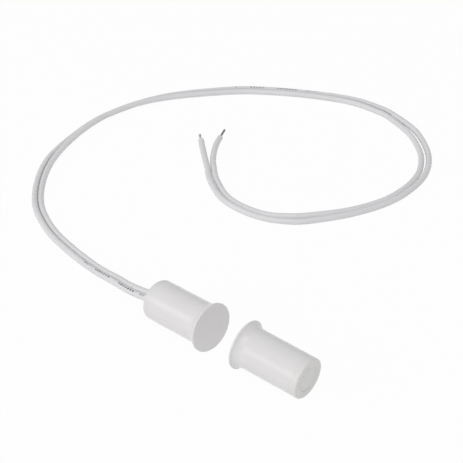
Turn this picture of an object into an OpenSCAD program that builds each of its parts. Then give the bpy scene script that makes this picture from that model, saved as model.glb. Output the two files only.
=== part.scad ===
// Recessed magnetic contact: a reed switch half with its flat twin lead, and a magnet half.
// Each half is a flanged plastic barrel that is pushed into a drilled hole.
// Millimetres, Z up. Both halves lie on z = 0, each on the edge of its flange and its rear edge.
// Each half is drawn about its own axis, with the face of its flange at z = 0 and its rear at +z.

/* [Barrels] */
// Outer diameter of both barrels, which is the size of the drilled hole
barrel_d = 9.5; // [9:0.1:12]
// Length of each half from the face of its flange to its rear end
barrel_len = 17.1; // [16.8:0.1:24]
// How far the flange stands out past the barrel
flange_lip = 1.0; // [0.8:0.1:3]
// Thickness of the flange at its rim
rim_t = 0.5; // [0.3:0.1:1.2]
// Rounding of the front edge of the rim
rim_edge = 0.15; // [0.05:0.05:0.3]
// Length of the flare from the back of the flange into the barrel
flare_len = 2.2; // [0.8:0.1:4]
// Wall of the barrel
wall = 1.0; // [0.7:0.1:1.2]
// Thickness of the closed front
front_wall = 1.0; // [0.6:0.1:1.3]

/* [Rear caps] */
// Thickness of each rear cap outside the barrel
cap_t = 1.6; // [1.2:0.1:2.2]
// Length of the cap's spigot inside the barrel
spigot_len = 1.5; // [0.8:0.1:1.6]
// Wall of the spigot
spigot_wall = 0.9; // [0.6:0.1:1.1]
// Clearance between the spigot and the bore, on the radius
spigot_gap = 0.03; // [0.01:0.01:0.1]
// Rounding of the rear edge on the switch half
switch_edge = 0.9; // [0.3:0.1:1.1]
// Rounding of the rear edge on the magnet half
magnet_edge = 0.45; // [0.2:0.05:1.1]
// Clearance between the lead and its hole in the cap
lead_gap = 0.05; // [0.02:0.01:0.2]

/* [Reed switch] */
// Length of the glass capsule
glass_len = 8.5; // [7:0.1:8.8]
// Outer diameter of the glass capsule
glass_d = 1.9; // [1.7:0.1:2.1]
// Wall of the glass
glass_wall = 0.28; // [0.2:0.01:0.32]
// Length of the seal at each end of the capsule
seal_len = 1.2; // [0.8:0.1:1.6]
// Rounding of the ends of the capsule
glass_edge = 0.7; // [0.3:0.05:0.8]
// Diameter of the reed's lead wires
wire_d = 0.45; // [0.35:0.05:0.5]
// Width of the flattened blades
blade_w = 0.9; // [0.6:0.05:0.95]
// Thickness of the flattened blades
blade_t = 0.18; // [0.12:0.01:0.22]
// Open gap between the two blades
blade_gap = 0.12; // [0.06:0.01:0.2]
// Length over which the two blades lie above each other
blade_overlap = 0.8; // [0.4:0.1:1.2]
// Straight wire between the capsule and the bend in front of it
neck = 0.3; // [0.1:0.1:0.6]
// Gap between the bend and the closed front
bend_gap = 0.3; // [0.1:0.05:0.5]
// Outer diameter of the sleeve on the returning wire
sleeve_d = 0.95; // [0.8:0.05:1.1]
// Clearance between the sleeve and its wire, on the radius
sleeve_gap = 0.03; // [0.01:0.01:0.08]
// Bare length of the sleeve's ends inside the capsule's length
sleeve_inset = 0.2; // [0:0.1:1]

/* [Joints to the lead] */
// Length over which a reed wire and a conductor lie side by side
lap_len = 1.1; // [0.8:0.1:1.3]
// Bare wire between the capsule and the lap
lap_gap = 0.35; // [0.3:0.05:0.5]
// Thickness of the solder over the wires of a lap
solder_cover = 0.12; // [0.08:0.01:0.16]
// How far the solder runs past each end of the lap
solder_over = 0.1; // [0:0.05:0.15]
// Rounding of the solder's ends
solder_edge = 0.35; // [0.1:0.05:0.5]
// Bare conductor between the lap and the lead's insulation
strip_gap = 0.3; // [0.2:0.05:0.4]
// Clearance between the potting and everything inside it
pot_gap = 0.02; // [0.01:0.01:0.05]

/* [Magnet] */
// Clearance between the magnet and the bore, filled with adhesive
magnet_gap = 0.5; // [0.2:0.05:1]
// Length of the magnet
magnet_len = 9.5; // [6:0.1:10.5]
// Chamfer on the magnet's ends
magnet_chamfer = 0.25; // [0.1:0.05:0.5]

/* [Lead] */
// Diameter over the insulation of one core
core_d = 1.5; // [1.3:0.05:1.6]
// Thickness of the web between the two cores
web_t = 0.6; // [0.3:0.05:1]
// Diameter of a stranded conductor
strand_d = 0.5; // [0.4:0.05:0.6]
// Length of the tinned end on the longer leg
tin_a_len = 2.8; // [1:0.1:6]
// Length of the tinned end on the shorter leg
tin_b_len = 3.9; // [1:0.1:6]
// Diameter of the tinned ends
tin_d = 0.6; // [0.5:0.05:0.7]
// Diameter of the bead of solder on the longer leg's tip
bead_d = 0.9; // [0.7:0.05:1]

/* [Layout] */
// Distance between the faces of the two halves
face_gap = 9.0; // [4:0.5:30]
// Sideways step from the switch half to the magnet half
side_step = 0.9; // [0:0.1:3]
// Turn of the magnet half about the vertical
magnet_yaw = 6; // [0:1:15]
// Turn of the switch half about its own axis, which lowers the outer core of its lead
switch_roll = 23; // [0:1:45]

/* [Hidden] */

// Fineness of round shapes
$fn = 72;
// Extra length on a cut, so that it runs clear through
cut = 1;
// Sides of a lead's tube
tube_sides = 8;

white_abs = [0.88, 0.88, 0.87];
white_cap = [0.84, 0.84, 0.83];
white_pvc = [0.80, 0.80, 0.82];
epoxy = [0.25, 0.25, 0.27];
glass_green = [0.70, 0.85, 0.78];
tinned = [0.55, 0.56, 0.58];
iron = [0.42, 0.42, 0.45];
sleeve_blue = [0.35, 0.45, 0.65];

barrel_r = barrel_d/2;
flange_r = barrel_r + flange_lip;
bore_r = barrel_r - wall;
// The flare is an arc that ends along the barrel, no shorter than a quarter of a circle
flare_rise = flange_lip - rim_edge;
flare_run = max(flare_len, flare_rise);
flare_r = (pow(flare_run, 2) + pow(flare_rise, 2))/(2*flare_rise);
shell_len = barrel_len - cap_t;
cap_face = shell_len - spigot_len;
spigot_r = bore_r - spigot_gap;

core_r = core_d/2;
core_x = core_d/2;
glass_r = glass_d/2;
wire_r = wire_d/2;
strand_r = strand_d/2;
tin_r = tin_d/2;

// Across the barrel, a reed wire lies beside its conductor, and the two laps mirror each other
lap_x = core_x + strand_r + wire_r;
solder_x = (lap_x + wire_r + core_x - strand_r)/2;
solder_r = wire_r + strand_r + solder_cover;

// Along the barrel, from the closed front to the lead
bend_z = front_wall + bend_gap + wire_r + lap_x;
glass_z = bend_z + neck;
glass_end = glass_z + glass_len;
glass_mid = glass_z + glass_len/2;
cavity_r = glass_r - glass_wall;
cavity_edge = cavity_r/2;
blade_start = glass_z + seal_len + cavity_edge;
blade_end = glass_end - seal_len - cavity_edge;
lap_z = glass_end + lap_gap;
lap_end = lap_z + lap_len;
strip_z = lap_end + strip_gap;

magnet_r = bore_r - magnet_gap;

// Tilt of a half that rests on the back edge of its rim and on its rounded rear edge
function rest_tilt(edge) =
    let (rise = flange_r - barrel_r + edge, run = barrel_len - edge - rim_t)
    acos(edge/norm([rise, run])) - atan(run/rise);
function face_height(tilt) = flange_r*cos(tilt) + rim_t*sin(tilt);

switch_tilt = rest_tilt(switch_edge);
magnet_tilt = rest_tilt(magnet_edge);
switch_axis = [-cos(switch_tilt), 0, -sin(switch_tilt)];
magnet_axis = [cos(magnet_tilt)*cos(magnet_yaw), cos(magnet_tilt)*sin(magnet_yaw), -sin(magnet_tilt)];

// Furthest reach of a half, from the middle of its face, in a direction u
function rear_reach(axis, edge, u) =
    let (along = axis*u)
    (barrel_len - edge)*along + (barrel_r - edge)*sqrt(1 - along*along) + edge;
function rim_reach(axis, u) = max(0, rim_t*(axis*u)) + flange_r*sqrt(1 - pow(axis*u, 2));
function reach(axis, edge, u) = max(rear_reach(axis, edge, u), rim_reach(axis, u));

// The two halves are centred on the origin in plan
switch_reach_x = reach(switch_axis, switch_edge, [-1, 0, 0]);
magnet_reach_x = face_gap + reach(magnet_axis, magnet_edge, [1, 0, 0]);
reach_y_low = min(-flange_r, side_step - reach(magnet_axis, magnet_edge, [0, -1, 0]));
reach_y_high = max(flange_r, side_step + reach(magnet_axis, magnet_edge, [0, 1, 0]));
switch_face = [(switch_reach_x - magnet_reach_x)/2, -(reach_y_low + reach_y_high)/2,
               face_height(switch_tilt)];
magnet_face = [switch_face.x + face_gap, switch_face.y + side_step, face_height(magnet_tilt)];
lead_exit = switch_face + barrel_len*switch_axis;

// Route of the twin lead after its exit: x, y, z and the roll that lifts its outer core
twin_route = [
    [-25, -0.9, 3.95, -19], [-30, -1.0, 3.2, -11], [-35.5, -0.6, 2.6, -3], [-41.4, -0.2, 1.85, 0],
    [-46.95, 0.6, 1.25, 0], [-54, 1.7, 0.95, 0], [-62, 3.5, 0.85, 0], [-70, 6.95, 0.8, 0],
    [-75.75, 11.2, 0.8, 0], [-81.35, 17.4, 0.85, -2], [-85.3, 23.7, 0.95, -7], [-87.4, 29.35, 1.1, -22],
    [-88.9, 35.35, 1.2, -34], [-90, 41.9, 1.25, -37], [-90.1, 48.4, 1.25, -37], [-88.35, 57.9, 1.2, -34],
    [-84.9, 66.4, 1.0, -16], [-78.85, 75.35, 0.9, -8], [-72, 83.2, 0.85, -4], [-60.9, 91.5, 0.85, -7],
    [-49.2, 97.9, 0.8, 0], [-40.15, 99.5, 0.9, 10], [-36.1, 99.3, 0.9, 10]
];

// Middle line of the two single leads where they run together: x, y, z, roll and distance apart
pair_route = [
    [-36.1, 99.3, 0.9, 10, 1.5], [-31.8, 98.4, 0.9, 10, 1.75], [-27.25, 97, 0.9, 5, 2],
    [-23, 94.7, 0.8, 0, 2.05], [-18.85, 91.5, 0.8, 0, 2], [-15.7, 87.8, 0.8, 0, 1.95],
    [-13.3, 83.4, 0.8, 0, 1.75], [-12, 78.2, 0.8, 0, 1.55], [-11.75, 72, 0.8, 0, 1.5],
    [-12.9, 65.7, 0.8, 0, 1.5], [-15.6, 58.8, 0.85, -4, 1.5], [-19.15, 52.5, 1.0, -16, 1.55],
    [-23.3, 47.1, 1.05, -22, 1.55], [-29.25, 43.3, 0.85, -5, 1.5], [-36.1, 41.85, 0.8, 0, 1.5],
    [-42.6, 42.5, 0.8, 0, 1.6], [-49.4, 45.95, 0.8, 0, 1.7]
];

// The two legs after the fork
leg_a = [[-53.7, 48.4, 0.8], [-57.5, 51.3, 0.8], [-60.9, 54, 0.8], [-64.2, 56.7, 0.8]];
leg_b = [[-52.4, 49.4, 0.8], [-55.7, 52.4, 0.8], [-58.5, 55.8, 0.8], [-60.3, 58.5, 0.8],
         [-61.6, 61.1, 0.8]];

function unit(v) = v/norm(v);
function place_of(p) = [p[0], p[1], p[2]];
// Direction of travel at ring i, and the sideways and upward directions of a ring rolled by roll
function run_at(pts, i, first) =
    i == 0 ? first : unit(pts[min(i + 1, len(pts) - 1)] - pts[i - 1]);
function left_of(run, roll) =
    let (flat = unit(cross([0, 0, 1], run))) flat*cos(roll) + cross(run, flat)*sin(roll);

// Outline of a lead: two half circles of the core, spread apart by half_pitch on each side
function lead_section(half_pitch, r) = [
    for (k = [0:tube_sides - 1])
        let (a = (k + 0.5)*360/tube_sides)
        [sign(cos(a))*half_pitch + r*cos(a), r*sin(a)]
];

// Tube swept along points, each with its roll, starting in the direction first
module lead_tube(pts, rolls, section, first) {
    n = len(section);
    rings = len(pts);
    points = [
        for (i = [0:rings - 1])
            let (run = run_at(pts, i, first), left = left_of(run, rolls[i]), up = cross(run, left))
            for (s = section) pts[i] + left*s[0] + up*s[1]
    ];
    sides = [
        for (i = [0:rings - 2], j = [0:n - 1])
            let (here = i*n, there = here + n, next = (j + 1)%n)
            each [[here + j, there + j, there + next], [here + j, there + next, here + next]]
    ];
    start_cap = [for (j = [0:n - 1]) j];
    end_cap = [for (j = [n - 1:-1:0]) (rings - 1)*n + j];
    polyhedron(points = points, faces = concat([start_cap], sides, [end_cap]), convexity = 10);
}

twin_pts = concat([lead_exit], [for (p = twin_route) place_of(p)]);
twin_rolls = concat([-switch_roll], [for (p = twin_route) p[3]]);
twin_end_run = run_at(twin_pts, len(twin_pts) - 1, switch_axis);

// One single lead of the pair: hand is 1 for the outer lead and -1 for the inner one
pair_mid = [for (p = pair_route) place_of(p)];
function pair_side(hand) = [
    for (i = [0:len(pair_mid) - 1])
        pair_mid[i]
        + left_of(run_at(pair_mid, i, twin_end_run), pair_route[i][3])*hand*pair_route[i][4]/2
];
lead_a_pts = concat(pair_side(1), leg_a);
lead_b_pts = concat(pair_side(-1), leg_b);
function end_run(pts) = unit(pts[len(pts) - 1] - pts[len(pts) - 2]);

// Places a half that is drawn about its own axis on to its rest
module lay_switch() {
    translate(switch_face) rotate([0, -90 - switch_tilt, 0]) rotate([0, 0, -90 - switch_roll]) children();
}
module lay_magnet() {
    translate(magnet_face) rotate([0, 0, magnet_yaw]) rotate([0, 90 + magnet_tilt, 0]) children();
}

// Turned solid with both ends rounded, from z = 0 to z = h
module turned_pill(r, h, edge) {
    rotate_extrude() pill_outline(r, h, edge);
}
module pill_outline(r, h, edge) {
    intersection() {
        square([r, h]);
        union() {
            translate([0, edge]) square([r, h - 2*edge]);
            square([r - edge, h]);
            for (z = [edge, h - edge]) translate([r - edge, z]) circle(edge);
        }
    }
}

// Flanged barrel, closed in front and open at the rear, as a turned outline
module housing_outline() {
    difference() {
        union() {
            square([barrel_r, shell_len]);
            translate([0, rim_edge]) square([flange_r, rim_t - rim_edge]);
            square([flange_r - rim_edge, rim_t]);
            translate([flange_r - rim_edge, rim_edge]) circle(rim_edge);
            difference() {
                square([barrel_r + flare_rise, rim_t + flare_run]);
                translate([barrel_r + flare_r, rim_t + flare_run]) circle(flare_r);
            }
        }
        translate([0, front_wall]) square([bore_r, shell_len]);
    }
}
module housing() {
    rotate_extrude() housing_outline();
}

// Rear cap with a rounded rear edge and a hollow spigot that seats in the barrel
module rear_cap(edge) {
    translate([0, 0, shell_len]) rotate_extrude() {
        intersection() {
            square([barrel_r, cap_t]);
            union() {
                square([barrel_r, cap_t - edge]);
                square([barrel_r - edge, cap_t]);
                translate([barrel_r - edge, cap_t - edge]) circle(edge);
            }
        }
        translate([spigot_r - spigot_wall, -spigot_len]) square([spigot_wall, spigot_len]);
    }
}

// Section of the twin lead, grown all round by grow
module twin_section(grow = 0) {
    for (side = [-1, 1]) translate([side*core_x, 0]) circle(core_r + grow);
    square([2*core_x, web_t + 2*grow], center = true);
}

// Reed wire bent back along the capsule, from the front seal to its lap
module bent_wire(r) {
    translate([lap_x, 0, bend_z]) cylinder(h = blade_start - bend_z, r = r);
    translate([0, 0, bend_z]) rotate([-90, 0, 0])
        rotate_extrude(angle = 180) translate([lap_x, 0]) circle(r);
    translate([-lap_x, 0, bend_z]) cylinder(h = lap_end - bend_z, r = r);
}
// Straight reed wire behind the capsule
module straight_wire(r) {
    translate([lap_x, 0, blade_end]) cylinder(h = lap_end - blade_end, r = r);
}
// Conductor of one core, bared beside its reed wire
module bared_conductor(side, r) {
    translate([side*core_x, 0, lap_z]) cylinder(h = strip_z - lap_z, r = r);
}
module solder_pill(side, grow = 0) {
    translate([side*solder_x, 0, lap_z - solder_over - grow])
        turned_pill(solder_r + grow, lap_len + 2*(solder_over + grow), solder_edge);
}
module return_sleeve_tube(r) {
    translate([-lap_x, 0, glass_z + sleeve_inset]) cylinder(h = glass_len - 2*sleeve_inset, r = r);
}
// End of the lead inside the barrel, cut square where its strands are bared
module tail_solid(grow = 0) {
    translate([0, 0, strip_z]) linear_extrude(height = barrel_len - strip_z) twin_section(grow);
}

module switch_housing() color(white_abs) lay_switch() housing();

module switch_rear_cap() color(white_cap) lay_switch() difference() {
    rear_cap(switch_edge);
    translate([0, 0, cap_face - cut]) linear_extrude(height = barrel_len - cap_face + 2*cut)
        twin_section(lead_gap);
}

// Resin that fills the barrel round the reed and its joints, up into the hollow spigot
module switch_potting() color(epoxy) lay_switch() difference() {
    rotate_extrude() {
        translate([0, front_wall]) square([bore_r, cap_face - front_wall]);
        translate([0, front_wall]) square([spigot_r - spigot_wall, shell_len - front_wall]);
    }
    translate([lap_x, 0, glass_z - pot_gap])
        turned_pill(glass_r + pot_gap, glass_len + 2*pot_gap, glass_edge);
    bent_wire(wire_r + pot_gap);
    straight_wire(wire_r + pot_gap);
    return_sleeve_tube(sleeve_d/2 + pot_gap);
    for (side = [-1, 1]) {
        solder_pill(side, pot_gap);
        bared_conductor(side, strand_r + pot_gap);
    }
    tail_solid(pot_gap);
}

// Glass capsule: a sealed tube, with the two wires fused into its ends
module reed_glass() color(glass_green) lay_switch() translate([lap_x, 0, glass_z])
    rotate_extrude() difference() {
        pill_outline(glass_r, glass_len, glass_edge);
        translate([0, seal_len]) pill_outline(cavity_r, glass_len - 2*seal_len, cavity_edge);
        translate([0, -cut]) square([wire_r, glass_len + 2*cut]);
    }

// Flattened end of a reed wire inside the capsule
module blade(from, to, side) {
    translate([lap_x - blade_w/2, side*(blade_gap + blade_t)/2 - blade_t/2, from])
        cube([blade_w, blade_t, to - from]);
}
module reed_blade_front() color(iron) lay_switch() {
    bent_wire(wire_r);
    blade(blade_start, glass_mid + blade_overlap/2, 1);
}
module reed_blade_rear() color(iron) lay_switch() {
    straight_wire(wire_r);
    blade(glass_mid - blade_overlap/2, blade_end, -1);
}

module return_sleeve() color(sleeve_blue) lay_switch() difference() {
    return_sleeve_tube(sleeve_d/2);
    bent_wire(wire_r + sleeve_gap);
}

module solder_joint(side) {
    color(tinned) lay_switch() difference() {
        solder_pill(side);
        bared_conductor(side, strand_r);
        bent_wire(wire_r);
        straight_wire(wire_r);
    }
}
module solder_joint_a() solder_joint(1);
module solder_joint_b() solder_joint(-1);

module conductor_a() color(tinned) lay_switch() bared_conductor(1, strand_r);
module conductor_b() color(tinned) lay_switch() bared_conductor(-1, strand_r);

module lead_tail() color(white_pvc) lay_switch() tail_solid();

module magnet_housing() color(white_abs) lay_magnet() housing();

module magnet() color(iron) lay_magnet() translate([0, 0, front_wall]) rotate_extrude()
    polygon([[0, 0], [magnet_r - magnet_chamfer, 0], [magnet_r, magnet_chamfer],
             [magnet_r, magnet_len - magnet_chamfer], [magnet_r - magnet_chamfer, magnet_len],
             [0, magnet_len]]);

// Adhesive round and behind the magnet, up into the hollow spigot
module magnet_adhesive() color(epoxy) lay_magnet() difference() {
    rotate_extrude() {
        translate([0, front_wall]) square([bore_r, cap_face - front_wall]);
        translate([0, front_wall]) square([spigot_r - spigot_wall, shell_len - front_wall]);
    }
    translate([0, 0, front_wall - cut])
        cylinder(h = magnet_len + cut + pot_gap, r = magnet_r + pot_gap);
}

module magnet_rear_cap() color(white_cap) lay_magnet() rear_cap(magnet_edge);

module twin_lead() color(white_pvc)
    lead_tube(twin_pts, twin_rolls, lead_section(core_x, core_r), switch_axis);

// A single lead is a little under its real size here, so that the pair never overlaps
single_r = core_r - lead_gap;
module single_lead(pts) {
    straight = [for (p = pts) 0];
    color(white_pvc) lead_tube(pts, straight, lead_section(0, single_r), twin_end_run);
}
module lead_a() single_lead(lead_a_pts);
module lead_b() single_lead(lead_b_pts);

// Bare conductor that leaves the end of a single lead, dipped in solder
module tinned_end(pts, length, tip_r) {
    tip = pts[len(pts) - 1];
    run = end_run(pts);
    color(tinned) translate(tip) rotate([0, acos(run.z), atan2(run.y, run.x)]) {
        cylinder(h = length - tip_r, r = tin_r);
        translate([0, 0, length - tip_r]) sphere(tip_r);
    }
}
module tinned_end_a() tinned_end(lead_a_pts, tin_a_len, bead_d/2);
module tinned_end_b() tinned_end(lead_b_pts, tin_b_len, tin_r);

switch_housing();
switch_rear_cap();
switch_potting();
reed_glass();
reed_blade_front();
reed_blade_rear();
return_sleeve();
solder_joint_a();
solder_joint_b();
conductor_a();
conductor_b();
lead_tail();
magnet_housing();
magnet();
magnet_adhesive();
magnet_rear_cap();
twin_lead();
lead_a();
lead_b();
tinned_end_a();
tinned_end_b();
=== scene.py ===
import math

import bmesh
import bpy
from mathutils import Matrix, Vector


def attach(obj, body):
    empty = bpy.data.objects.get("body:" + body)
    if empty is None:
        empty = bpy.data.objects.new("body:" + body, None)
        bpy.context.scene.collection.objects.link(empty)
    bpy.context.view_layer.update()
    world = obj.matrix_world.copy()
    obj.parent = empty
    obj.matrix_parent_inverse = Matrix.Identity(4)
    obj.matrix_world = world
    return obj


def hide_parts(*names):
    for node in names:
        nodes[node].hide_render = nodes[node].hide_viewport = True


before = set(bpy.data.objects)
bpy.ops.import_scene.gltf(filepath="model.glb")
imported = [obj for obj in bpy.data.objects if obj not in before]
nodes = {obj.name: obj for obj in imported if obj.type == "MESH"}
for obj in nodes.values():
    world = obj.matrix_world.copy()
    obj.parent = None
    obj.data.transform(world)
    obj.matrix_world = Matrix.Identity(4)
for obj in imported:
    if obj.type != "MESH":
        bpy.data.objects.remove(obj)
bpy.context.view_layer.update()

mm = 0.001               # sizes below are in millimetres unless their note says otherwise
print("frame:", len(nodes), "nodes")


# Camera

cameraSet = {
    "place": (209.5, -219.3, 252.8),
    "heading": 43.604,       # degrees, from looking along +Y towards -X
    "pitch": 54.141,         # degrees, 0 looks straight down
    "lens": 139.96,
    "sensor": 36,
    "clip": (0.01, 20),      # in metres
}


def addObject(name, data):
    obj = bpy.data.objects.new(name, data)
    bpy.context.collection.objects.link(obj)
    return obj


def makeCamera(s):
    data = bpy.data.cameras.new("photoCamera")
    data.lens = s["lens"]
    data.sensor_width = s["sensor"]
    data.clip_start, data.clip_end = s["clip"]
    cam = addObject("photoCamera", data)
    cam.location = Vector(s["place"]) * mm
    cam.rotation_euler = (math.radians(s["pitch"]), 0, math.radians(s["heading"]))
    bpy.context.scene.camera = cam


makeCamera(cameraSet)
print("camera made")


# Lead: its route on the floor, then its pieces

# where the lead leaves the switch half's rear cap
leadExit = (-21.659, -0.8068, 4.6851)
exitDirection = Vector((-0.997985, 0, -0.0634504))
exitRoll = -23           # degrees, as the switch half lies

# twin lead: x, y, z and the roll that lifts its outer core, in degrees
twinRoute = [
    (-25, -0.9, 3.95, -19), (-30, -1.0, 3.2, -11), (-35.5, -0.6, 2.6, -3), (-41.4, -0.2, 1.85, 0),
    (-46.95, 0.6, 1.25, 0), (-54, 1.7, 0.95, 0), (-62, 3.5, 0.85, 0), (-70, 6.95, 0.8, 0),
    (-75.75, 11.2, 0.8, 0), (-81.35, 17.4, 0.85, -2), (-85.3, 23.7, 0.95, -7), (-87.4, 29.35, 1.1, -22),
    (-88.9, 35.35, 1.2, -34), (-90, 41.9, 1.25, -37), (-90.1, 48.4, 1.25, -37), (-88.35, 57.9, 1.2, -34),
    (-84.9, 66.4, 1.0, -16), (-78.85, 75.35, 0.9, -8), (-72, 83.2, 0.85, -4), (-60.9, 91.5, 0.85, -7),
    (-49.2, 97.9, 0.8, 0), (-40.15, 99.5, 0.9, 10), (-36.1, 99.3, 0.9, 10),
]

# the two single leads while they run together: x, y, z, roll and distance apart
pairRoute = [
    (-36.1, 99.3, 0.9, 10, 1.5), (-31.8, 98.4, 0.9, 10, 1.75), (-27.25, 97, 0.9, 5, 2),
    (-23, 94.7, 0.8, 0, 2.05), (-18.85, 91.5, 0.8, 0, 2), (-15.7, 87.8, 0.8, 0, 1.95),
    (-13.3, 83.4, 0.8, 0, 1.75), (-12, 78.2, 0.8, 0, 1.55), (-11.75, 72, 0.8, 0, 1.5),
    (-12.9, 65.7, 0.8, 0, 1.5), (-15.6, 58.8, 0.85, -4, 1.5), (-19.15, 52.5, 1.0, -16, 1.55),
    (-23.3, 47.1, 1.05, -22, 1.55), (-29.25, 43.3, 0.85, -5, 1.5), (-36.1, 41.85, 0.8, 0, 1.5),
    (-42.6, 42.5, 0.8, 0, 1.6), (-49.4, 45.95, 0.8, 0, 1.7),
]
legA = [(-53.7, 48.4, 0.8), (-57.5, 51.3, 0.8), (-60.9, 54, 0.8), (-64.2, 56.7, 0.8)]
legB = [(-52.4, 49.4, 0.8), (-55.7, 52.4, 0.8), (-58.5, 55.8, 0.8), (-60.3, 58.5, 0.8),
        (-61.6, 61.1, 0.8)]

leadSet = {
    "core": 1.5,         # over the insulation of one core
    "web": 0.34,         # thickness of the web between the cores
    "single": 1.49,      # over a single core after the tear
    "ridge": 0.05,       # how far the torn web stands out of a single core
    "tear": (-0.2, 0.15),    # lower and upper edge of the torn web, as shares of the web
    "step": 0.6,         # from one ring of the tube to the next
    "fine": 24,          # points on the smooth curve between two points of a route
    "coreSteps": 20,     # points round one core
    "cutEdge": 0.1,      # rounding of the cut ends
    "leadIn": 5,         # straight run before the tear
    "weld": 1e-7,        # points this close are joined, in metres
    "flat": 1e-6,        # how far a cut end's points may lie off its plane, in metres
    "sharp": 50,         # degrees from which an edge is drawn sharp
}
upright = Vector((0, 0, 1))


# a point on a smooth curve from b to c, with a and d its neighbours
def smoothPoint(a, b, c, d, t):
    square, cube = 2 * a - 5 * b + 4 * c - d, 3 * b - a - 3 * c + d
    return 0.5 * (2 * b + (c - a) * t + square * t**2 + cube * t**3)


# evenly spaced stations along a route; each row is x, y, z and the values that go with them
def stationsAlong(route, step, before=None, after=None):
    rows = [Vector(p) for p in route]
    before = Vector(before) if before else 2 * rows[0] - rows[1]
    after = Vector(after) if after else 2 * rows[-1] - rows[-2]
    rows = [before] + rows + [after]
    fine = []
    for a, b, c, d in zip(rows, rows[1:], rows[2:], rows[3:]):
        fine += [smoothPoint(a, b, c, d, k / leadSet["fine"]) for k in range(leadSet["fine"])]
    fine.append(rows[-2])
    reach = [0.0]
    for a, b in zip(fine, fine[1:]):
        reach.append(reach[-1] + (b.xyz - a.xyz).length)
    count = round(reach[-1] / step)
    out, k = [], 0
    for i in range(count + 1):
        want = reach[-1] * i / count
        while k < len(reach) - 2 and reach[k + 1] < want:
            k += 1
        share = (want - reach[k]) / (reach[k + 1] - reach[k])
        out.append(fine[k].lerp(fine[k + 1], min(share, 1)))
    return out


# direction to the left of the travel, lowered or raised by the roll
def leftOf(travel, roll):
    flat = upright.cross(travel).normalized()
    return flat * math.cos(math.radians(roll)) + travel.cross(flat) * math.sin(math.radians(roll))


# outline of one core, from the top of the web over its outer side to the bottom of the web
def coreOutline(s, side, radius, shift):
    start = math.asin(s["web"] / 2 / radius)
    turns = [start + (2 * math.pi - 2 * start) * k / s["coreSteps"] for k in range(s["coreSteps"] + 1)]
    return [(side * (shift - radius * math.cos(a)), radius * math.sin(a)) for a in turns]


def twinOutline(s):
    radius = s["core"] / 2
    return coreOutline(s, -1, radius, radius) + coreOutline(s, 1, radius, radius)[::-1]


# a core on its own, with the torn edge of the web on its inner side
def singleOutline(s, side):
    radius = s["single"] / 2
    edge = -side * (radius + s["ridge"])
    return coreOutline(s, side, radius, 0) + [(edge, s["web"] * share) for share in s["tear"]]


# mesh that an object's curve or modifiers draw; the object and its helpers go
def finalMesh(obj, *helpers):
    drawn = obj.evaluated_get(bpy.context.evaluated_depsgraph_get())
    mesh = bpy.data.meshes.new_from_object(drawn)
    for used in (obj, *helpers):
        bpy.data.objects.remove(used)
    return mesh


# draws an outline along stations as a curve and returns its mesh
def sweepOutline(stations, outline):
    shape = bpy.data.curves.new("leadOutline", "CURVE")
    shape.dimensions = "2D"
    line = shape.splines.new("POLY")
    line.points.add(len(outline) - 1)
    for point, (x, y) in zip(line.points, outline):
        point.co = (x * mm, y * mm, 0, 1)
    line.use_cyclic_u = True
    shapeObj = addObject("leadOutline", shape)
    curve = bpy.data.curves.new("leadLine", "CURVE")
    curve.dimensions = "3D"
    curve.twist_mode = "Z_UP"
    line = curve.splines.new("POLY")
    line.points.add(len(stations) - 1)
    for point, s in zip(line.points, stations):
        point.co = (s[0] * mm, s[1] * mm, s[2] * mm, 1)
        point.tilt = math.radians(s[3])
    curve.bevel_mode = "OBJECT"
    curve.bevel_object = shapeObj
    curve.use_fill_caps = True
    return finalMesh(addObject("leadLine", curve), shapeObj)


# the lead's own UV: u is millimetres along it, v goes once round it from the top of the web
def writeLeadUv(mesh, stations, count, start):
    reach = [start]
    for a, b in zip(stations, stations[1:]):
        reach.append(reach[-1] + (b.xyz - a.xyz).length)
    uv = mesh.uv_layers[0].data
    for face in mesh.polygons:
        slots = [v % count for v in face.vertices]
        wraps = len(slots) == 4 and 0 in slots and count - 1 in slots
        for corner, vertex, slot in zip(face.loop_indices, face.vertices, slots):
            ring = vertex // count - 2      # the first two rings are those of the end caps
            along = reach[ring] if ring >= 0 else reach[0] if ring == -2 else reach[-1]
            uv[corner].uv = (along, 1 if wraps and slot == 0 else slot / count)
    return reach[-1]


# rounds the edge between a flat end, whose points pass the test onEnd, and the walls round it
def roundEdges(work, onEnd, normal, size, segments):
    rim = [e for e in work.edges if all(onEnd(v) for v in e.verts)
           and any(abs(f.normal.dot(normal)) < 0.5 for f in e.link_faces)]
    bmesh.ops.bevel(work, geom=rim, offset=size, offset_type="OFFSET", affect="EDGES",
                    segments=segments, profile=0.5, material=-1, clamp_overlap=True)


# a mesh tube along stations, with the edge of its far end rounded where it is cut
def layTube(name, stations, outline, start=0, cutEdge=0):
    mesh = sweepOutline(stations, outline)
    mesh.name = name
    end = writeLeadUv(mesh, stations, len(outline), start)
    work = bmesh.new()
    work.from_mesh(mesh)
    bmesh.ops.remove_doubles(work, verts=work.verts, dist=leadSet["weld"])
    if cutEdge:
        tip, run = stations[-1].xyz * mm, (stations[-1] - stations[-2]).xyz.normalized()
        roundEdges(work, lambda v: abs((v.co - tip).dot(run)) < leadSet["flat"], run, cutEdge * mm, 3)
    bmesh.ops.recalc_face_normals(work, faces=work.faces)
    work.to_mesh(mesh)
    work.free()
    mesh.polygons.foreach_set("use_smooth", [True] * len(mesh.polygons))
    mesh.set_sharp_from_angle(angle=math.radians(leadSet["sharp"]))
    return addObject(name, mesh), end


# middle line of one core of the pair, outer for side 1, inner for side -1, on to the end of its leg
def singleRoute(side, leg):
    places = [Vector(p[:3]) for p in pairRoute]
    points = []
    for i, row in enumerate(pairRoute):
        run = (places[min(i + 1, len(places) - 1)] - places[max(i - 1, 0)]).normalized()
        aside = leftOf(run if i else twinEndRun, row[3]) * side * row[4] / 2
        points.append((*(places[i] + aside), row[3]))
    return points + [(*p, 0) for p in leg]


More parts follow.
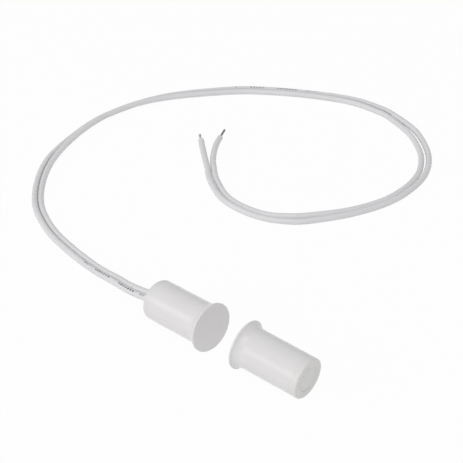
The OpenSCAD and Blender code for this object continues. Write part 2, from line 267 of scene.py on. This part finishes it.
firstRow, secondRow = Vector(leadExit), Vector(twinRoute[0][:3])
beforeExit = secondRow - 2 * (secondRow - firstRow).length * exitDirection
twinStations = stationsAlong([(*leadExit, exitRoll)] + twinRoute, leadSet["step"],
                             (*beforeExit, exitRoll), pairRoute[1][:4])
twinEndRun = (twinStations[-1] - twinStations[-2]).xyz.normalized()
twinLead, twinEnd = layTube("twinLead", twinStations, twinOutline(leadSet))
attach(twinLead, "root")
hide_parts("twin_lead")

singleLeads = []
for name, side, leg in (("leadOuter", 1, legA), ("leadInner", -1, legB)):
    route = singleRoute(side, leg)
    beforeTear = (*(Vector(route[0][:3]) - twinEndRun * leadSet["leadIn"]), route[0][3])
    stations = stationsAlong(route, leadSet["step"], beforeTear)
    lead, end = layTube(name, stations, singleOutline(leadSet, -side), twinEnd, leadSet["cutEdge"])
    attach(lead, "root")
    singleLeads.append((lead, stations, end - twinEnd))
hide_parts("lead_a")
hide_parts("lead_b")
print("lead laid: twin", round(twinEnd, 1), "mm, singles", [round(row[2], 1) for row in singleLeads])


# Bare ends: twisted strands, dipped in solder

tipSet = {
    "strand": 0.2,       # one strand
    "round": 6,          # strands round the middle one
    "press": 0.98,       # how close they lie, as a share of a strand
    "pitch": 9,          # length of one turn of the twist
    "steps": 30,         # rings along a strand
    "inside": 0.6,       # start inside the insulation
    "voxel": 0.03,       # the strands are run together at this size
    "soften": 3,         # rounds of smoothing after that
    "outer": {"name": "tinnedTipOuter", "length": 2.8, "bead": 0.8, "node": "tinned_end_a"},
    "inner": {"name": "tinnedTipInner", "length": 3.9, "bead": 0.56, "node": "tinned_end_b"},
}


def makeTip(s, tip, stations):
    size, length = s["strand"], tip["length"]
    work = bmesh.new()
    for k in range(s["round"] + 1):
        turn = 2 * math.pi * k / s["round"]
        place = Vector((math.cos(turn), math.sin(turn), 0)) * (size * s["press"] if k else 0)
        bmesh.ops.create_circle(work, cap_ends=True, segments=12, radius=size / 2,
                                matrix=Matrix.Translation(place - upright * s["inside"]))
    whole = length - tip["bead"] / 2 + s["inside"]
    bmesh.ops.spin(work, geom=work.verts[:] + work.edges[:] + work.faces[:], cent=(0, 0, 0),
                   axis=(0, 0, 1), dvec=(0, 0, whole / s["steps"]),
                   angle=2 * math.pi * whole / s["pitch"], steps=s["steps"])
    bmesh.ops.create_uvsphere(work, u_segments=32, v_segments=16, radius=tip["bead"] / 2,
                              matrix=Matrix.Translation((0, 0, length - tip["bead"] / 2)))
    mesh = bpy.data.meshes.new(tip["name"])
    work.to_mesh(mesh)
    work.free()
    rough = addObject(tip["name"], mesh)
    melt = rough.modifiers.new("melt", "REMESH")
    melt.mode = "VOXEL"
    melt.voxel_size = s["voxel"]
    melt.use_smooth_shade = True
    soften = rough.modifiers.new("soften", "SMOOTH")
    soften.iterations = s["soften"]
    mesh = finalMesh(rough)

    run = (stations[-1] - stations[-2]).xyz.normalized()
    turned = run.to_track_quat("Z", "Y").to_matrix().to_4x4()
    mesh.transform(Matrix.Scale(mm, 4) @ Matrix.Translation(stations[-1].xyz) @ turned)
    mesh.name = tip["name"]
    mesh.polygons.foreach_set("use_smooth", [True] * len(mesh.polygons))
    obj = addObject(tip["name"], mesh)
    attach(obj, "root")
    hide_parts(tip["node"])
    return obj


tipOuter = makeTip(tipSet, tipSet["outer"], singleLeads[0][1])
tipInner = makeTip(tipSet, tipSet["inner"], singleLeads[1][1])
print("bare ends made")

# Barrels: turned mouldings with a flared flange, and their glued rear caps

barrelSet = {
    "radius": 4.75, "bore": 3.75, "length": 17.1,
    "lip": 1.0, "rim": 0.5,           # the flange past the barrel, and its thickness
    "rimEdge": 0.2, "rimBack": 0.06,  # rounding of the rim in front and behind
    "ledge": 0.15,                    # flat part behind the rim
    "flare": 2.2,                     # from the back of the flange into the barrel
    "front": 1.0, "cap": 1.6,         # closed front and rear cap
    "spigot": (2.82, 3.72, 1.5),      # inner and outer radius and length
    "seam": 0.015,                    # chamfer where shell and cap meet
    "sink": (3.05, 0.22),             # radius and depth of the sunk middle of the closed cap
    "sinkEdge": (0.08, 0.06, 0.03, 0.1),    # its softened edge: outwards, down, and twice inwards
    "hold": 0.1, "faceHold": 0.12,    # from a rounded edge to the ring of points that keeps it crisp
    "faceRing": 2,                    # ring of points on the face, from the flange's edge
    "capRing": 1.9, "floorRing": 1.5,     # rings on the caps, from the axis
    "steps": 144,
    "sharp": 38,                      # degrees from which an edge is drawn sharp
    "weld": 1e-5, "flat": 1e-4,       # as for the lead, but in millimetres
    "cutter": (1, 4),                 # how far the hole's cutter stands out, and its length
    "holeReach": 1.8,                 # the hole lies within this radius
    "holeGap": 0.05, "holeWeb": 0.7,  # round the lead, and the height of the hole between the cores
    "holeEdge": 0.08,
    "switch": {"face": (-4.5934, -0.8068, 5.7701), "tilt": 3.6379, "yaw": 180, "roll": -23, "edge": 0.9},
    "magnet": {"face": (4.4066, 0.0932, 5.7699), "tilt": 3.5402, "yaw": 6, "roll": 0, "edge": 0.45},
}


# points on an arc round a centre, both ends included
def arcPoints(centre, radius, start, end, steps):
    turns = [math.radians(start + (end - start) * k / steps) for k in range(steps + 1)]
    return [(centre[0] + radius * math.cos(a), centre[1] + radius * math.sin(a)) for a in turns]


# half outline of the shell, as radius and distance from the face
def shellOutline(s):
    radius, flange, edge, back = s["radius"], s["radius"] + s["lip"], s["rimEdge"], s["rimBack"]
    rise = s["lip"] - s["ledge"]
    swing = (s["flare"]**2 + rise**2) / (2 * rise)
    high = math.degrees(math.asin(s["flare"] / swing))
    seat = s["length"] - s["cap"]
    line = [(0, 0), (flange - s["faceRing"], 0), (flange - edge - s["faceHold"], 0)]
    line += arcPoints((flange - edge, edge), edge, -90, 0, 6)
    line += arcPoints((flange - back, s["rim"] - back), back, 0, 90, 4)
    line += arcPoints((radius + swing, s["rim"] + s["flare"]), swing, 180 + high, 180, 16)
    line += [(radius, seat - s["seam"] - s["hold"]), (radius, seat - s["seam"]), (radius - s["seam"], seat)]
    return line + [(s["bore"], seat), (s["bore"], s["front"]), (0, s["front"])]


def capOutline(s, edge, sunk):
    radius, seat = s["radius"], s["length"] - s["cap"]
    inner, outer, deep = s["spigot"]
    line = [(0, seat), (inner, seat), (inner, seat - deep), (outer, seat - deep), (outer, seat)]
    line += [(radius - s["seam"], seat), (radius, seat + s["seam"])]
    line += [(radius, seat + s["seam"] + s["hold"]), (radius, s["length"] - edge - s["hold"])]
    line += arcPoints((radius - edge, s["length"] - edge), edge, 0, 90, 10)
    line.append((radius - edge - s["faceHold"], s["length"]))
    if not sunk:
        return line + [(s["capRing"], s["length"]), (0, s["length"])]
    wide, deep = s["sink"]
    out, down, wall, foot = s["sinkEdge"]
    floor = s["length"] - deep
    return line + [(wide + out, s["length"]), (wide, s["length"] - down), (wide - wall, floor + down),
                   (wide - foot, floor), (s["floorRing"], floor), (0, floor)]


# turns a half outline once round the axis
def turnOutline(line, steps):
    work = bmesh.new()
    verts = [work.verts.new((r, 0, z)) for r, z in line]
    edges = [work.edges.new(pair) for pair in zip(verts, verts[1:])]
    bmesh.ops.spin(work, geom=verts + edges, cent=(0, 0, 0), axis=(0, 0, 1), dvec=(0, 0, 0),
                   angle=2 * math.pi, steps=steps, use_merge=True)
    bmesh.ops.remove_doubles(work, verts=work.verts, dist=barrelSet["weld"])
    bmesh.ops.recalc_face_normals(work, faces=work.faces)
    return work


# cuts the lead's hole, the outline of both cores and the web with a little clearance
def cutLeadHole(mesh, s):
    hole = dict(leadSet, web=s["holeWeb"])
    radius = leadSet["core"] / 2 + s["holeGap"]
    outline = coreOutline(hole, -1, radius, leadSet["core"] / 2)
    outline += coreOutline(hole, 1, radius, leadSet["core"] / 2)[::-1]
    work = bmesh.new()
    out, long = s["cutter"]
    face = work.faces.new([work.verts.new((x, y, s["length"] + out)) for x, y in outline])
    grown = bmesh.ops.extrude_face_region(work, geom=[face])["geom"]
    grown = [g for g in grown if isinstance(g, bmesh.types.BMVert)]
    bmesh.ops.translate(work, verts=grown, vec=(0, 0, -long))
    bmesh.ops.recalc_face_normals(work, faces=work.faces)
    cutterMesh = bpy.data.meshes.new("leadHole")
    work.to_mesh(cutterMesh)
    work.free()
    cutter = addObject("leadHole", cutterMesh)
    plain = addObject("uncutCap", mesh)
    cutting = plain.modifiers.new("leadHole", "BOOLEAN")
    cutting.object = cutter
    cutting.operation = "DIFFERENCE"
    cutting.solver = "EXACT"
    result = finalMesh(plain, cutter)
    work = bmesh.new()
    work.from_mesh(result)
    roundEdges(work, lambda v: abs(v.co.z - s["length"]) < s["flat"] and v.co.xy.length < s["holeReach"],
               upright, s["holeEdge"], 2)
    work.to_mesh(result)
    work.free()
    return result


def rotation(degrees, axis):
    return Matrix.Rotation(math.radians(degrees), 4, axis)


# lays a half's piece down and hands it over under its name
def layBarrel(name, mesh, lie, node):
    turned = rotation(lie["yaw"], "Z") @ rotation(90 + lie["tilt"], "Y")
    turned = Matrix.Translation(lie["face"]) @ turned @ rotation(90 + lie["roll"], "Z")
    mesh.transform(Matrix.Scale(mm, 4) @ turned)
    mesh.name = name
    mesh.polygons.foreach_set("use_smooth", [True] * len(mesh.polygons))
    mesh.set_sharp_from_angle(angle=math.radians(barrelSet["sharp"]))
    obj = addObject(name, mesh)
    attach(obj, "root")
    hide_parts(node)
    return obj


shells, caps = [], []
for half in ("switch", "magnet"):
    lie = barrelSet[half]
    pieces = []
    for line in (shellOutline(barrelSet), capOutline(barrelSet, lie["edge"], half == "magnet")):
        work = turnOutline(line, barrelSet["steps"])
        mesh = bpy.data.meshes.new(half)
        work.to_mesh(mesh)
        work.free()
        pieces.append(mesh)
    if half == "switch":
        pieces[1] = cutLeadHole(pieces[1], barrelSet)
    shells.append(layBarrel(half + "Shell", pieces[0], lie, half + "_housing"))
    caps.append(layBarrel(half + "Cap", pieces[1], lie, half + "_rear_cap"))
print("barrels made:", [len(obj.data.polygons) for obj in shells + caps], "faces")


# Shared effects: node groups that put out masks and heights

def link(tree, output, socket):
    tree.links.new(output, socket)


def addNode(tree, kind, **settings):
    node = tree.nodes.new("ShaderNode" + kind)
    for key, value in settings.items():
        setattr(node, key, value)
    return node


def mathNode(tree, operation, a, b=None, clamp=False):
    node = addNode(tree, "Math", operation=operation, use_clamp=clamp)
    for socket, value in zip(node.inputs, (a, b)):
        if isinstance(value, (int, float)):
            socket.default_value = value
        elif value is not None:
            link(tree, value, socket)
    return node.outputs[0]


# spreads a mask between two values
def spread(tree, mask, low, high, fromLow=0.0, fromHigh=1.0):
    node = addNode(tree, "MapRange")
    link(tree, mask, node.inputs["Value"])
    node.inputs["From Min"].default_value = fromLow
    node.inputs["From Max"].default_value = fromHigh
    node.inputs["To Min"].default_value = low
    node.inputs["To Max"].default_value = high
    return node.outputs["Result"]


def noise(tree, vector, scale, detail, roughness=0.5):
    node = addNode(tree, "TexNoise")
    link(tree, vector, node.inputs["Vector"])
    if isinstance(scale, (int, float)):
        node.inputs["Scale"].default_value = scale
    else:
        link(tree, scale, node.inputs["Scale"])
    node.inputs["Detail"].default_value = detail
    node.inputs["Roughness"].default_value = roughness
    return node.outputs["Fac"]


# sum of two values, each with its share
def blend(tree, a, shareA, b, shareB):
    return mathNode(tree, "ADD", mathNode(tree, "MULTIPLY", a, shareA), mathNode(tree, "MULTIPLY", b, shareB))


def newGroup(name, inputs, outputs):
    tree = bpy.data.node_groups.new(name, "ShaderNodeTree")
    for label, kind, value in inputs:
        socket = tree.interface.new_socket(name=label, in_out="INPUT", socket_type=kind)
        if value is not None:
            socket.default_value = value
    for label in outputs:
        tree.interface.new_socket(name=label, in_out="OUTPUT", socket_type="NodeSocketFloat")
    return tree, tree.nodes.new("NodeGroupInput"), tree.nodes.new("NodeGroupOutput")


# moulded or cast surface: fine grain for the height, soft cloudiness for the colour
def makeGrainGroup():
    tree, start, end = newGroup("surfaceGrain", [
        ("Vector", "NodeSocketVector", None),
        ("Grain", "NodeSocketFloat", 9000.0),
        ("Cloud", "NodeSocketFloat", 220.0),
    ], ["Height", "Mottle"])
    fine = noise(tree, start.outputs["Vector"], start.outputs["Grain"], 4, 0.6)
    broad = noise(tree, start.outputs["Vector"], start.outputs["Cloud"], 2)
    link(tree, blend(tree, fine, 0.6, broad, 0.4), end.inputs["Height"])
    link(tree, spread(tree, broad, 0, 1, 0.3, 0.7), end.inputs["Mottle"])
    return tree


# each mask runs from 0 to 1 between its two levels of noise
handlingSet = {
    "hairs": (((0.4, 0.7, 0.5), 0.05), ((1.2, 0.2, 2.1), 0.08)),    # turn and stretch of each direction
    "across": 6,                     # how many times finer the noise is across a hairline
    "hair": (0.73, 0.80), "where": (0.50, 0.62), "rub": (0.42, 0.75),
}


# marks of handling: sparse hairlines in two directions, and rubbed patches
def makeHandlingGroup(s):
    tree, start, end = newGroup("handlingMarks", [
        ("Vector", "NodeSocketVector", None),
        ("Density", "NodeSocketFloat", 260.0),
    ], ["Scratch", "Rub"])
    hairs = []
    for turn, stretch in s["hairs"]:
        drawn = addNode(tree, "Mapping")
        drawn.inputs["Scale"].default_value = (stretch, s["across"], s["across"])
        drawn.inputs["Rotation"].default_value = turn
        link(tree, start.outputs["Vector"], drawn.inputs["Vector"])
        lines = noise(tree, drawn.outputs["Vector"], start.outputs["Density"], 1, 0.4)
        hairs.append(spread(tree, lines, 0, 1, *s["hair"]))
    both = mathNode(tree, "MAXIMUM", *hairs)
    where = noise(tree, start.outputs["Vector"], start.outputs["Density"], 2)
    some = spread(tree, where, 0, 1, *s["where"])
    link(tree, mathNode(tree, "MULTIPLY", both, some, clamp=True), end.inputs["Scratch"])
    link(tree, spread(tree, where, 0, 1, *s["rub"]), end.inputs["Rub"])
    return tree


# extruded insulation, read from the lead's UV: drawn lines along it and slow swellings
def makeExtrusionGroup():
    tree, start, end = newGroup("extrudedSkin", [
        ("Vector", "NodeSocketVector", None),
        ("Lines", "NodeSocketFloat", 60.0),
    ], ["Height", "Drift"])
    long = addNode(tree, "Mapping")
    long.inputs["Scale"].default_value = (0.02, 1, 1)
    link(tree, start.outputs["Vector"], long.inputs["Vector"])
    lines = noise(tree, long.outputs["Vector"], start.outputs["Lines"], 3, 0.55)
    slow = addNode(tree, "Mapping")
    slow.inputs["Scale"].default_value = (0.12, 2, 1)
    link(tree, start.outputs["Vector"], slow.inputs["Vector"])
    drift = noise(tree, slow.outputs["Vector"], 1, 2)
    link(tree, blend(tree, lines, 0.35, drift, 0.65), end.inputs["Height"])
    link(tree, spread(tree, drift, 0, 1, 0.3, 0.7), end.inputs["Drift"])
    return tree


grainGroup = makeGrainGroup()
handlingGroup = makeHandlingGroup(handlingSet)
extrusionGroup = makeExtrusionGroup()
print("shared effects made")


# Materials

def place(tree, group, vector, **values):
    node = addNode(tree, "Group", node_tree=group)
    link(tree, vector, node.inputs["Vector"])
    for key, value in values.items():
        node.inputs[key].default_value = value
    return node


def mixColour(tree, mask, a, b):
    node = addNode(tree, "Mix", data_type="RGBA")
    link(tree, mask, node.inputs[0])
    for socket, colour in ((node.inputs[6], a), (node.inputs[7], b)):
        if isinstance(colour, tuple):
            socket.default_value = (*colour, 1)
        else:
            link(tree, colour, socket)
    return node.outputs[2]


def bump(tree, shader, height, distance):
    node = addNode(tree, "Bump")
    node.inputs["Strength"].default_value = 1
    node.inputs["Distance"].default_value = distance * mm
    link(tree, height, node.inputs["Height"])
    link(tree, node.outputs["Normal"], shader.inputs["Normal"])


def startMaterial(name, **sockets):
    mat = bpy.data.materials.new(name)
    mat.use_nodes = True
    shader = mat.node_tree.nodes["Principled BSDF"]
    for key, value in sockets.items():
        shader.inputs[key.replace("_", " ")].default_value = value
    return mat, mat.node_tree, shader


# solid material with grain, cloudiness and marks of handling
def makeSolid(name, s):
    mat, tree, shader = startMaterial(name, **s["sockets"])
    where = addNode(tree, "TexCoord").outputs["Object"]
    grain = place(tree, grainGroup, where, Grain=s["grain"], Cloud=s["cloud"])
    marks = place(tree, handlingGroup, where, Density=s["marks"])
    body = mixColour(tree, grain.outputs["Mottle"], s["dark"], s["light"])
    colour = mixColour(tree, marks.outputs["Scratch"], body, s["scratched"])
    link(tree, colour, shader.inputs["Base Color"])
    rough = mathNode(tree, "ADD", spread(tree, marks.outputs["Rub"], s["gloss"], s["dull"]),
                     mathNode(tree, "MULTIPLY", marks.outputs["Scratch"], s["scratchDull"]), clamp=True)
    link(tree, rough, shader.inputs["Roughness"])
    height = mathNode(tree, "SUBTRACT", grain.outputs["Height"],
                      mathNode(tree, "MULTIPLY", marks.outputs["Scratch"], s["scratchDepth"]))
    bump(tree, shader, height, s["relief"])
    return mat


# light that goes a little way into the white mouldings
lightDepth = {"Subsurface_Weight": 0.1, "Subsurface_Scale": 0.0003, "Subsurface_Radius": (1, 0.9, 0.8)}
solids = {
    "mouldedShell": {
        "light": (0.864, 0.848, 0.856), "dark": (0.852, 0.836, 0.844),
        "scratched": (0.845, 0.829, 0.837),
        "gloss": 0.262, "dull": 0.268, "grain": 5000, "cloud": 260, "marks": 300,
        "relief": 0.002, "scratchDepth": 0.02, "scratchDull": 0.015,
        "sockets": lightDepth,
    },
    "mouldedCap": {
        "light": (0.846, 0.837, 0.828), "dark": (0.834, 0.825, 0.816),
        "scratched": (0.828, 0.819, 0.81),
        "gloss": 0.296, "dull": 0.304, "grain": 5000, "cloud": 300, "marks": 320,
        "relief": 0.002, "scratchDepth": 0.1, "scratchDull": 0.015,
        "sockets": lightDepth,
    },
    "castResin": {
        "light": (0.055, 0.055, 0.06), "dark": (0.035, 0.035, 0.04), "scratched": (0.10, 0.10, 0.10),
        "gloss": 0.28, "dull": 0.5, "grain": 5000, "cloud": 500, "marks": 500,
        "relief": 0.02, "scratchDepth": 0.2, "scratchDull": 0.1, "sockets": {"Specular_IOR_Level": 0.45},
    },
    "sleeveTube": {
        "light": (0.13, 0.22, 0.46), "dark": (0.10, 0.18, 0.40), "scratched": (0.24, 0.32, 0.52),
        "gloss": 0.42, "dull": 0.6, "grain": 14000, "cloud": 900, "marks": 900,
        "relief": 0.005, "scratchDepth": 0.4, "scratchDull": 0.1, "sockets": {},
    },
    "softSolder": {
        "light": (0.56, 0.57, 0.58), "dark": (0.40, 0.41, 0.43), "scratched": (0.66, 0.66, 0.66),
        "gloss": 0.22, "dull": 0.5, "grain": 12000, "cloud": 2600, "marks": 1500,
        "relief": 0.008, "scratchDepth": 0.3, "scratchDull": 0.1, "sockets": {"Metallic": 1.0},
    },
    "platedReed": {
        "light": (0.62, 0.60, 0.57), "dark": (0.50, 0.49, 0.47), "scratched": (0.70, 0.68, 0.64),
        "gloss": 0.16, "dull": 0.36, "grain": 20000, "cloud": 1800, "marks": 1600,
        "relief": 0.002, "scratchDepth": 0.6, "scratchDull": 0.1, "sockets": {"Metallic": 1.0},
    },
    "barMagnet": {
        "light": (0.42, 0.41, 0.40), "dark": (0.30, 0.29, 0.29), "scratched": (0.55, 0.54, 0.53),
        "gloss": 0.25, "dull": 0.5, "grain": 7000, "cloud": 700, "marks": 700,
        "relief": 0.01, "scratchDepth": 0.5, "scratchDull": 0.1, "sockets": {"Metallic": 1.0},
    },
}
made = {name: makeSolid(name, s) for name, s in solids.items()}


glass = {
    "light": (0.82, 0.94, 0.86), "dark": (0.72, 0.88, 0.78), "gloss": 0.02, "dull": 0.08,
    "grain": 2500, "cloud": 900, "relief": 0.004,
}


# clear capsule glass, slightly uneven
def makeGlass(s):
    mat, tree, shader = startMaterial("capsuleGlass", Transmission_Weight=1.0, IOR=1.5)
    where = addNode(tree, "TexCoord").outputs["Object"]
    grain = place(tree, grainGroup, where, Grain=s["grain"], Cloud=s["cloud"])
    link(tree, mixColour(tree, grain.outputs["Mottle"], s["dark"], s["light"]), shader.inputs["Base Color"])
    link(tree, spread(tree, grain.outputs["Mottle"], s["gloss"], s["dull"]), shader.inputs["Roughness"])
    bump(tree, shader, grain.outputs["Height"], s["relief"])
    return mat


# tinned copper: bright where the solder is thick, darker in the lay between the strands
tinned = {
    "bright": (0.50, 0.50, 0.50), "dull": (0.20, 0.20, 0.21), "copper": (0.42, 0.26, 0.17),
    "roughness": (0.46, 0.28),       # where dull and where bright
    "worn": (0.18, 0.6),             # most copper that shows, and how rubbed the tin is where it starts
    "grain": 16000, "cloud": 3500, "marks": 2200, "relief": 0.01,
}
# the outer bare end carries more solder and is paler
thickSolder = dict(tinned, bright=(0.86, 0.86, 0.86), dull=(0.52, 0.52, 0.53))


def makeTinned(name, s):
    mat, tree, shader = startMaterial(name, Metallic=1.0)
    where = addNode(tree, "TexCoord").outputs["Object"]
    grain = place(tree, grainGroup, where, Grain=s["grain"], Cloud=s["cloud"])
    marks = place(tree, handlingGroup, where, Density=s["marks"])
    metal = mixColour(tree, grain.outputs["Mottle"], s["dull"], s["bright"])
    most, start = s["worn"]
    thin = spread(tree, marks.outputs["Rub"], 0, most, start, 1.0)
    link(tree, mixColour(tree, thin, metal, s["copper"]), shader.inputs["Base Color"])
    link(tree, spread(tree, grain.outputs["Mottle"], *s["roughness"]), shader.inputs["Roughness"])
    bump(tree, shader, grain.outputs["Height"], s["relief"])
    return mat


# soft insulation; the ink is plain short dashes on the top of the outer core, read from the UV;
# places along the lead are in millimetres of u, and places round it are shares of v
pvc = {
    "light": (0.85, 0.847, 0.863), "dark": (0.815, 0.812, 0.828), "gloss": 0.38, "dull": 0.52,
    "relief": 0.006, "lines": 40, "marks": 300,
    "grooveShadeColour": (0.42, 0.42, 0.44), "grooveWide": 0.065,    # painted shade in the groove beside the web, and how far it reaches
    "grooveShadeLeast": 0.75,                   # share of the painted groove shade where the drift is lowest
    "grooveShadeAlong": (0.3, 1.0, 15, 55),     # painted groove shade near the cap and further on, and where it changes
    "ink": (0.10, 0.10, 0.11), "pitch": 0.8, "dash": 0.62,
    "row": (0.087, 0.137),           # from and to
    "wander": (0, 0.025, 30, 140),   # how far the row strays towards the web, and where
    "pale": 0.6, "worn": 0.75,       # ink of the palest dash, and what rubbing leaves of it
    "printed": 200,                  # length that the runs are given on
    # dashes: where each run starts and ends along the lead, and how dark it is
    "runs": [(2.4, 4.0, 0.8), (6.2, 11.2, 1.0), (14.1, 20.3, 1.0), (22.4, 24.9, 0.7),
             (133.6, 134.6, 0.4), (137.9, 141.9, 0.8), (144.9, 150.5, 0.9), (152.9, 155.8, 0.5)],
}


def makePvc(name, s, printed):
    mat, tree, shader = startMaterial(name, Subsurface_Weight=0.12, Subsurface_Scale=0.0003,
                                      Subsurface_Radius=(1, 0.95, 0.9))
    uv = addNode(tree, "UVMap", uv_map="UVMap").outputs["UV"]
    skin = place(tree, extrusionGroup, uv, Lines=s["lines"])
    marks = place(tree, handlingGroup, addNode(tree, "TexCoord").outputs["Object"], Density=s["marks"])
    colour = mixColour(tree, skin.outputs["Drift"], s["dark"], s["light"])
    if printed:
        split = addNode(tree, "SeparateXYZ")
        link(tree, uv, split.inputs[0])
        along, round = split.outputs["X"], split.outputs["Y"]
        # painted shade: the colour is darkened in the groove beside the web, weaker near the cap and varying
        # with the drift
        fromWeb = mathNode(tree, "PINGPONG", round, 0.5)
        grooveShade = mathNode(tree, "MULTIPLY", spread(tree, fromWeb, 1, 0, 0, s["grooveWide"]),
                        spread(tree, skin.outputs["Drift"], s["grooveShadeLeast"], 1.0))
        grooveShade = mathNode(tree, "MULTIPLY", grooveShade, spread(tree, along, *s["grooveShadeAlong"]))
        colour = mixColour(tree, grooveShade, colour, s["grooveShadeColour"])
        shifted = mathNode(tree, "ADD", round, spread(tree, along, *s["wander"]))
        inRow = mathNode(tree, "MULTIPLY", mathNode(tree, "GREATER_THAN", shifted, s["row"][0]),
                         mathNode(tree, "LESS_THAN", shifted, s["row"][1]))
        cell = mathNode(tree, "DIVIDE", along, s["pitch"])
        inDash = mathNode(tree, "LESS_THAN", mathNode(tree, "FRACT", cell), s["dash"])
        number = addNode(tree, "TexWhiteNoise", noise_dimensions="1D")
        link(tree, mathNode(tree, "FLOOR", cell), number.inputs["W"])
        dark = spread(tree, number.outputs["Value"], s["pale"], 1.0)
        ramp = addNode(tree, "ValToRGB")
        ramp.color_ramp.interpolation = "CONSTANT"
        stops = ramp.color_ramp.elements
        stops[0].color = (0, 0, 0, 1)
        stops.remove(stops[1])
        for start, end, level in s["runs"]:
            stops.new(start / s["printed"]).color = (level, level, level, 1)
            stops.new(end / s["printed"]).color = (0, 0, 0, 1)
        link(tree, mathNode(tree, "DIVIDE", along, s["printed"]), ramp.inputs["Fac"])
        worn = spread(tree, marks.outputs["Rub"], 1.0, s["worn"])
        ink = mathNode(tree, "MULTIPLY", inRow, inDash)
        for part in (dark, ramp.outputs["Color"], worn):
            ink = mathNode(tree, "MULTIPLY", ink, part)
        colour = mixColour(tree, ink, colour, s["ink"])
    link(tree, colour, shader.inputs["Base Color"])
    link(tree, spread(tree, marks.outputs["Rub"], s["gloss"], s["dull"]), shader.inputs["Roughness"])
    bump(tree, shader, skin.outputs["Height"], s["relief"])
    return mat


made["capsuleGlass"] = makeGlass(glass)
made["tinnedStrands"] = makeTinned("tinnedStrands", tinned)
made["thickSolder"] = makeTinned("thickSolder", thickSolder)
made["printedLead"] = makePvc("printedLead", pvc, True)
made["plainLead"] = makePvc("plainLead", pvc, False)


def dress(obj, mat):
    obj.data.materials.clear()
    obj.data.materials.append(mat)


def dressNode(name, mat):
    obj = nodes[name]
    if not obj.material_slots:
        obj.data.materials.append(mat)
    for slot in obj.material_slots:
        slot.material = mat


dress(twinLead, made["printedLead"])
for lead, _, _ in singleLeads:
    dress(lead, made["plainLead"])
dress(tipOuter, made["thickSolder"])
dress(tipInner, made["tinnedStrands"])
for obj in shells:
    dress(obj, made["mouldedShell"])
for obj in caps:
    dress(obj, made["mouldedCap"])
nodeFinish = {
    "switch_housing": "mouldedShell", "magnet_housing": "mouldedShell",
    "switch_rear_cap": "mouldedCap", "magnet_rear_cap": "mouldedCap",
    "switch_potting": "castResin", "magnet_adhesive": "castResin",
    "reed_glass": "capsuleGlass", "reed_blade_front": "platedReed", "reed_blade_rear": "platedReed",
    "return_sleeve": "sleeveTube", "solder_joint_a": "softSolder", "solder_joint_b": "softSolder",
    "conductor_a": "tinnedStrands", "conductor_b": "tinnedStrands", "magnet": "barMagnet",
    "twin_lead": "mouldedCap", "lead_a": "mouldedCap", "lead_b": "mouldedCap",
    "tinned_end_a": "softSolder", "tinned_end_b": "softSolder", "lead_tail": "mouldedCap",
}
for name, finish in nodeFinish.items():
    dressNode(name, made[finish])
print("materials made")


# Floor, lights and world

floorSet = {
    "reach": 3,              # half its width, in metres
    "matte": (0.92, 0.92, 0.92),
    "white": 0.96,           # how much of the seen floor is plain white, the rest takes the shadow
}


def makeFloor(s):
    work = bmesh.new()
    bmesh.ops.create_grid(work, x_segments=1, y_segments=1, size=s["reach"])
    mesh = bpy.data.meshes.new("studioFloor")
    work.to_mesh(mesh)
    work.free()
    obj = addObject("studioFloor", mesh)
    mat = bpy.data.materials.new("paleFloor")
    mat.use_nodes = True
    tree = mat.node_tree
    tree.nodes.clear()
    matte = addNode(tree, "BsdfDiffuse")
    matte.inputs["Color"].default_value = (*s["matte"], 1)
    glow = addNode(tree, "Emission")
    glow.inputs["Strength"].default_value = 1
    rays = addNode(tree, "LightPath")
    seen = mathNode(tree, "MAXIMUM", rays.outputs["Is Camera Ray"], rays.outputs["Is Glossy Ray"])
    seen = mathNode(tree, "MAXIMUM", seen, rays.outputs["Is Transmission Ray"])
    mix = addNode(tree, "MixShader")
    link(tree, mathNode(tree, "MULTIPLY", seen, s["white"]), mix.inputs[0])
    link(tree, matte.outputs[0], mix.inputs[1])
    link(tree, glow.outputs[0], mix.inputs[2])
    link(tree, mix.outputs[0], addNode(tree, "OutputMaterial").inputs["Surface"])
    obj.data.materials.append(mat)


makeFloor(floorSet)

# large soft lamps: place and size in metres, power in watts
lamps = {
    "keySoftbox": {"place": (-0.56, -0.97, 0.43), "size": (0.95, 0.5), "power": 2.75},
    "fillSoftbox": {"place": (0.282, -0.488, 1.06), "size": (0.8, 0.8), "power": 4.0},
}
for name, s in lamps.items():
    data = bpy.data.lights.new(name, "AREA")
    data.shape = "RECTANGLE"
    data.size, data.size_y = s["size"]
    data.energy = s["power"]
    lamp = addObject(name, data)
    lamp.location = s["place"]
    lamp.rotation_euler = Vector(s["place"]).to_track_quat("Z", "Y").to_euler()

airSet = {"plain": 0.48, "seen": 1.0}    # strength as light, and where the camera looks at it
world = bpy.data.worlds.new("studioAir")
bpy.context.scene.world = world
world.use_nodes = True
worldTree = world.node_tree
airRays = addNode(worldTree, "LightPath")
air = worldTree.nodes["Background"]
air.inputs["Color"].default_value = (1, 1, 1, 1)
isSeen = mathNode(worldTree, "MAXIMUM", airRays.outputs["Is Camera Ray"],
                  airRays.outputs["Is Transmission Ray"])
link(worldTree, spread(worldTree, isSeen, airSet["plain"], airSet["seen"]), air.inputs["Strength"])
bpy.context.scene.view_settings.view_transform = "Standard"
print("floor and lights made")
